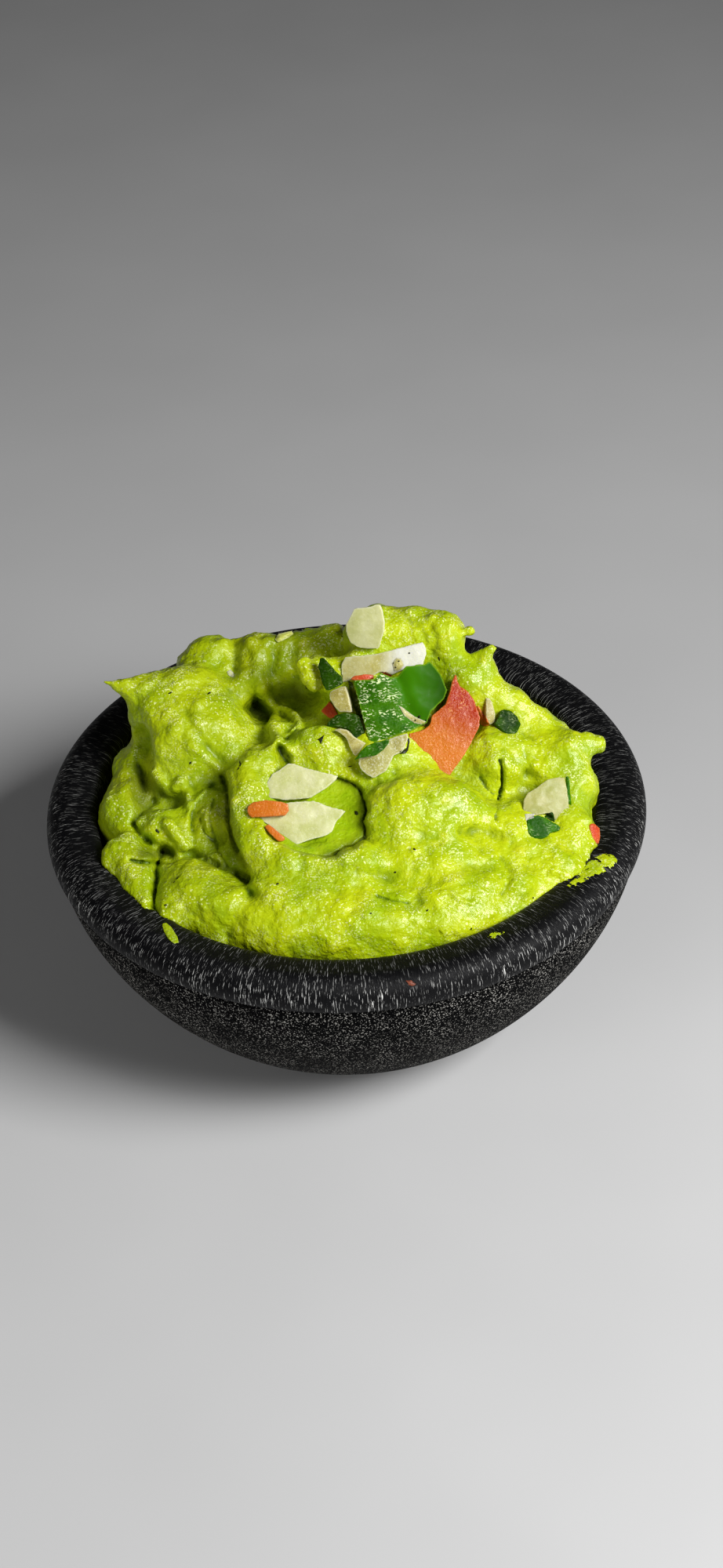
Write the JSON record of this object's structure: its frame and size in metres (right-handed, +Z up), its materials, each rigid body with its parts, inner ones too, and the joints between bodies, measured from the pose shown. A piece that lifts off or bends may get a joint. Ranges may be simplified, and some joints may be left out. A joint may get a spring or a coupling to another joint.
{
  "type": "bowl of guacamole",
  "caption": "Small round dark stone bowl heaped above its rim with chunky guacamole, topped with diced onion, tomato and green chilli.",
  "frame": {"origin": "centre of the bowl's flat foot, on the surface that it stands on", "axes": "+Z up through the middle of the bowl; -Y towards the front, where the heap is low and the toppings face; +X to the right"},
  "size_m": [0.125, 0.125, 0.0892],
  "materials": {
    "stone": "satin black stone with a brushed rim and a rough, pale-grained body",
    "guacamole": "wet, chunky lime-green mash",
    "onion": "wet, translucent pale onion",
    "tomato": "wet red to orange tomato flesh",
    "chilli": "glossy dark-green chilli skin"
  },
  "bodies": {
    "root": {"bowl": "stone", "guacamole": "guacamole", "onion_chip_left": "onion", "onion_chip_low": "onion", "onion_left_lower": "onion", "onion_left_upper": "onion", "onion_peak": "onion", "onion_right": "onion", "onion_sliver_right": "onion", "onion_strip": "onion", "onion_under_pepper": "onion", "pepper_curl": "chilli", "pepper_fold_left": "chilli", "pepper_leaf_left": "chilli", "pepper_right": "chilli", "pepper_right_back": "chilli", "pepper_square": "chilli", "tomato_chip_left": "tomato", "tomato_chip_low": "tomato", "tomato_chip_top": "tomato", "tomato_rim": "tomato", "tomato_strip_left": "tomato", "tomato_wedge": "tomato"}
  },
  "joints": []
}
